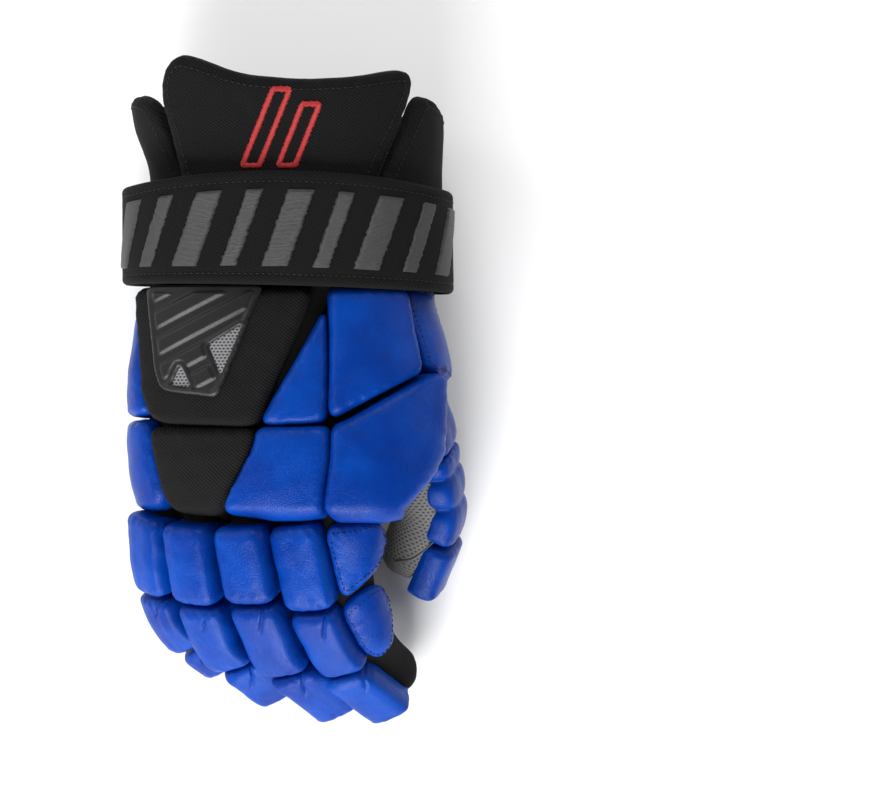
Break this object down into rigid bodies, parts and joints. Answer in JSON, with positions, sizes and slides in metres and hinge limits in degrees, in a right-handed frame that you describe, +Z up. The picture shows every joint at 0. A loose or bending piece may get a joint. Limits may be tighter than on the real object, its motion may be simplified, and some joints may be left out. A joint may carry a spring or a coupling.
{
  "type": "ball hockey glove",
  "caption": "Right-hand ball hockey glove with foam finger rolls, padded back panels, grey leather palm, padded cuff and a wide wrist strap.",
  "frame": {"origin": "on the surface that the glove lies on, under the middle of its bounding box", "axes": "+Z up from the palm to the back of the hand, +Y from the fingertips to the cuff, +X towards the thumb"},
  "size_m": [0.1686, 0.32, 0.1037],
  "materials": {
    "blue_shell": "smooth royal blue synthetic leather over foam",
    "black_cloth": "matt black woven nylon over foam",
    "knit_lining": "black stretch knit",
    "palm_leather": "grey perforated synthetic suede",
    "palm_patch": "grey synthetic suede",
    "badge_rubber": "moulded black rubber with ribs",
    "silver_mesh": "fine silver mesh",
    "woven_label": "black woven label with a grey end"
  },
  "bodies": {
    "root": {"hand_lining_back": "knit_lining", "hand_lining_palm": "knit_lining", "index_lining_back": "knit_lining", "index_lining_palm": "knit_lining", "middle_lining_back": "knit_lining", "middle_lining_palm": "knit_lining", "ring_lining_back": "knit_lining", "ring_lining_palm": "knit_lining", "little_lining_back": "knit_lining", "little_lining_palm": "knit_lining", "thumb_lining": "knit_lining", "palm_leather": "palm_leather", "palm_patch": "palm_patch", "palm_strip": "palm_patch", "index_roll_1": "blue_shell", "index_roll_2": "blue_shell", "index_roll_3": "blue_shell", "middle_roll_1": "blue_shell", "middle_roll_2": "blue_shell", "middle_roll_3": "blue_shell", "ring_roll_1": "blue_shell", "ring_roll_2": "blue_shell", "ring_roll_3": "blue_shell", "little_roll_1": "blue_shell", "little_roll_2": "blue_shell", "little_roll_3": "blue_shell", "thumb_roll_1": "blue_shell", "thumb_roll_2": "blue_shell", "thumb_roll_3": "blue_shell", "wrist_guard": "black_cloth", "knuckle_guard": "black_cloth", "back_panel_point": "blue_shell", "back_panel_upper": "blue_shell", "back_panel_middle": "blue_shell", "back_panel_thumb": "blue_shell", "side_panel_thumb": "blue_shell", "side_panel_upper": "blue_shell", "side_panel_lower": "blue_shell", "index_side_base": "blue_shell", "index_side_middle": "blue_shell", "cuff_back": "black_cloth", "cuff_side_little": "black_cloth", "cuff_side_thumb": "black_cloth", "palm_hem": "black_cloth", "wrist_strap": "black_cloth", "label": "woven_label", "closure_flap": "black_cloth", "strap_keeper_little": "black_cloth", "strap_keeper_thumb": "black_cloth", "badge_mesh": "silver_mesh", "badge_frame": "badge_rubber"}
  },
  "joints": []
}
